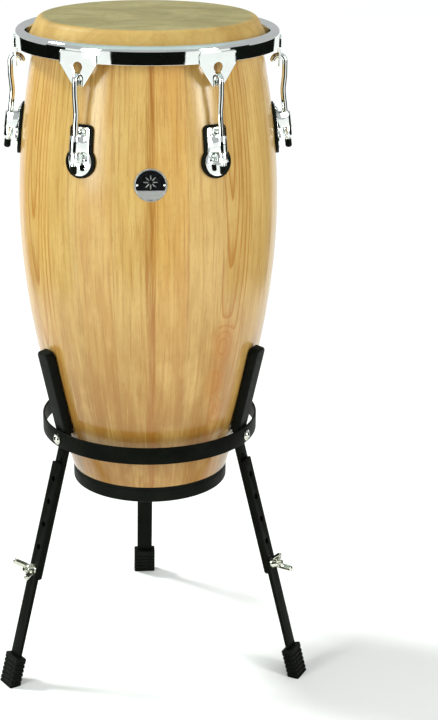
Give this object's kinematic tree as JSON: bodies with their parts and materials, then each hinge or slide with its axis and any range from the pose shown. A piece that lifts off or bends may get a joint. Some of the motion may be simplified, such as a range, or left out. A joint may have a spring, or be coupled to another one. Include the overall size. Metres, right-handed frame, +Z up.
{
  "type": "conga drum",
  "caption": "Barrel-shaped wooden hand drum with a rod-tuned rawhide head, held in a cradle stand with height-adjustable legs.",
  "frame": {"origin": "on the floor, under the drum's axis", "axes": "+Z up along the drum's axis, -Y towards the badge, the drum's front"},
  "size_m": [0.475, 0.4562, 1.003],
  "materials": {
    "lacquered_wood": "gloss lacquer",
    "rawhide": "scraped rawhide, satin",
    "chrome": "polished chrome plate",
    "zinc": "bright zinc plate",
    "black_steel": "satin black powder coat",
    "black_rubber": "moulded rubber, satin",
    "badge_metal": "enamelled and polished badge"
  },
  "bodies": {
    "stand": {"stand_ring": "black_steel", "stand_post_left": "black_steel", "stand_post_right": "black_steel", "stand_post_rear": "black_steel", "arm_sleeve_left": "black_rubber", "arm_sleeve_right": "black_rubber", "arm_sleeve_rear": "black_rubber", "ring_bolts": "zinc", "ring_washers": "zinc", "ring_spacers": "zinc", "ring_nuts": "zinc", "stop_rivets": "black_steel", "clamp_bolts": "zinc", "clamp_washers": "zinc"},
    "drum": {"stave_shell": "lacquered_wood", "bottom_ring": "black_rubber", "drumhead_skin": "rawhide", "flesh_hoop": "zinc", "tension_hoop": "chrome", "lug_plate_front_left": "chrome", "lug_plate_front_right": "chrome", "lug_plate_side_left": "chrome", "lug_plate_side_right": "chrome", "lug_plate_rear_left": "chrome", "lug_plate_rear_right": "chrome", "lug_gaskets": "black_rubber", "tuning_washers": "chrome", "lug_bolts": "chrome", "lug_backing_washers": "zinc", "lug_backing_nuts": "zinc", "badge": "badge_metal", "badge_pins": "badge_metal"},
    "rod_front_left": {"tension_rod_front_left": "chrome", "rod_tip_front_left": "black_rubber"},
    "nut_front_left": {"tuning_nut_front_left": "chrome"},
    "rod_front_right": {"tension_rod_front_right": "chrome", "rod_tip_front_right": "black_rubber"},
    "nut_front_right": {"tuning_nut_front_right": "chrome"},
    "rod_side_left": {"tension_rod_side_left": "chrome", "rod_tip_side_left": "black_rubber"},
    "nut_side_left": {"tuning_nut_side_left": "chrome"},
    "rod_side_right": {"tension_rod_side_right": "chrome", "rod_tip_side_right": "black_rubber"},
    "nut_side_right": {"tuning_nut_side_right": "chrome"},
    "rod_rear_left": {"tension_rod_rear_left": "chrome", "rod_tip_rear_left": "black_rubber"},
    "nut_rear_left": {"tuning_nut_rear_left": "chrome"},
    "rod_rear_right": {"tension_rod_rear_right": "chrome", "rod_tip_rear_right": "black_rubber"},
    "nut_rear_right": {"tuning_nut_rear_right": "chrome"},
    "leg_left": {"lower_leg_left": "black_steel", "rubber_foot_left": "black_rubber"},
    "wing_left": {"wing_nut_left": "zinc"},
    "leg_right": {"lower_leg_right": "black_steel", "rubber_foot_right": "black_rubber"},
    "wing_right": {"wing_nut_right": "zinc"},
    "leg_rear": {"lower_leg_rear": "black_steel", "rubber_foot_rear": "black_rubber"},
    "wing_rear": {"wing_nut_rear": "zinc"}
  },
  "joints": [
    {"name": "drum_lift", "type": "slide", "parent": "stand", "child": "drum", "axis": [0, 0, 1], "range_m": [0, 0.3]},
    {"name": "tuning_nut_front_left_turn", "type": "hinge", "parent": "drum", "child": "nut_front_left", "pos_m": [-0.1015, -0.1758, 0.84235], "axis": [-0.0627, -0.1085, -0.9921], "range_deg": [0, 1080]},
    {"name": "rod_front_left_slack", "type": "slide", "parent": "drum", "child": "rod_front_left", "axis": [0.0627, 0.1085, 0.9921], "range_m": [0, 0.00375]},
    {"name": "tuning_nut_front_right_turn", "type": "hinge", "parent": "drum", "child": "nut_front_right", "pos_m": [0.1015, -0.1758, 0.84235], "axis": [0.0627, -0.1085, -0.9921], "range_deg": [0, 1080]},
    {"name": "rod_front_right_slack", "type": "slide", "parent": "drum", "child": "rod_front_right", "axis": [-0.0627, 0.1085, 0.9921], "range_m": [0, 0.00375]},
    {"name": "tuning_nut_side_left_turn", "type": "hinge", "parent": "drum", "child": "nut_side_left", "pos_m": [-0.203, 0, 0.84235], "axis": [-0.1253, 0, -0.9921], "range_deg": [0, 1080]},
    {"name": "rod_side_left_slack", "type": "slide", "parent": "drum", "child": "rod_side_left", "axis": [0.1253, 0, 0.9921], "range_m": [0, 0.00375]},
    {"name": "tuning_nut_side_right_turn", "type": "hinge", "parent": "drum", "child": "nut_side_right", "pos_m": [0.203, 0, 0.84235], "axis": [0.1253, 0, -0.9921], "range_deg": [0, 1080]},
    {"name": "rod_side_right_slack", "type": "slide", "parent": "drum", "child": "rod_side_right", "axis": [-0.1253, 0, 0.9921], "range_m": [0, 0.00375]},
    {"name": "tuning_nut_rear_left_turn", "type": "hinge", "parent": "drum", "child": "nut_rear_left", "pos_m": [-0.1015, 0.1758, 0.84235], "axis": [-0.0627, 0.1085, -0.9921], "range_deg": [0, 1080]},
    {"name": "rod_rear_left_slack", "type": "slide", "parent": "drum", "child": "rod_rear_left", "axis": [0.0627, -0.1085, 0.9921], "range_m": [0, 0.00375]},
    {"name": "tuning_nut_rear_right_turn", "type": "hinge", "parent": "drum", "child": "nut_rear_right", "pos_m": [0.1015, 0.1758, 0.84235], "axis": [0.0627, 0.1085, -0.9921], "range_deg": [0, 1080]},
    {"name": "rod_rear_right_slack", "type": "slide", "parent": "drum", "child": "rod_rear_right", "axis": [-0.0627, -0.1085, 0.9921], "range_m": [0, 0.00375]},
    {"name": "leg_left_extend", "type": "slide", "parent": "stand", "child": "leg_left", "axis": [-0.22, -0.1396, -0.9655], "range_m": [0, 0.146]},
    {"name": "wing_left_turn", "type": "hinge", "parent": "stand", "child": "wing_left", "pos_m": [-0.17193, -0.10911, 0.1784], "axis": [-0.8152, -0.5173, 0.2605], "range_deg": [0, 720]},
    {"name": "leg_right_extend", "type": "slide", "parent": "stand", "child": "leg_right", "axis": [0.2309, -0.1207, -0.9655], "range_m": [0, 0.146]},
    {"name": "wing_right_turn", "type": "hinge", "parent": "stand", "child": "wing_right", "pos_m": [0.18046, -0.09434, 0.1784], "axis": [0.8556, -0.4473, 0.2605], "range_deg": [0, 720]},
    {"name": "leg_rear_extend", "type": "slide", "parent": "stand", "child": "leg_rear", "axis": [-0.0109, 0.2603, -0.9655], "range_m": [0, 0.146]},
    {"name": "wing_rear_turn", "type": "hinge", "parent": "stand", "child": "wing_rear", "pos_m": [-0.00853, 0.20346, 0.1784], "axis": [-0.0404, 0.9646, 0.2605], "range_deg": [0, 720]}
  ],
  "couplings": [
    {"joint": "tuning_nut_front_left_turn", "follows": "rod_front_left_slack", "rad_per_m": 5026.5},
    {"joint": "tuning_nut_front_right_turn", "follows": "rod_front_right_slack", "rad_per_m": 5026.5},
    {"joint": "tuning_nut_side_left_turn", "follows": "rod_side_left_slack", "rad_per_m": 5026.5},
    {"joint": "tuning_nut_side_right_turn", "follows": "rod_side_right_slack", "rad_per_m": 5026.5},
    {"joint": "tuning_nut_rear_left_turn", "follows": "rod_rear_left_slack", "rad_per_m": 5026.5},
    {"joint": "tuning_nut_rear_right_turn", "follows": "rod_rear_right_slack", "rad_per_m": 5026.5}
  ]
}
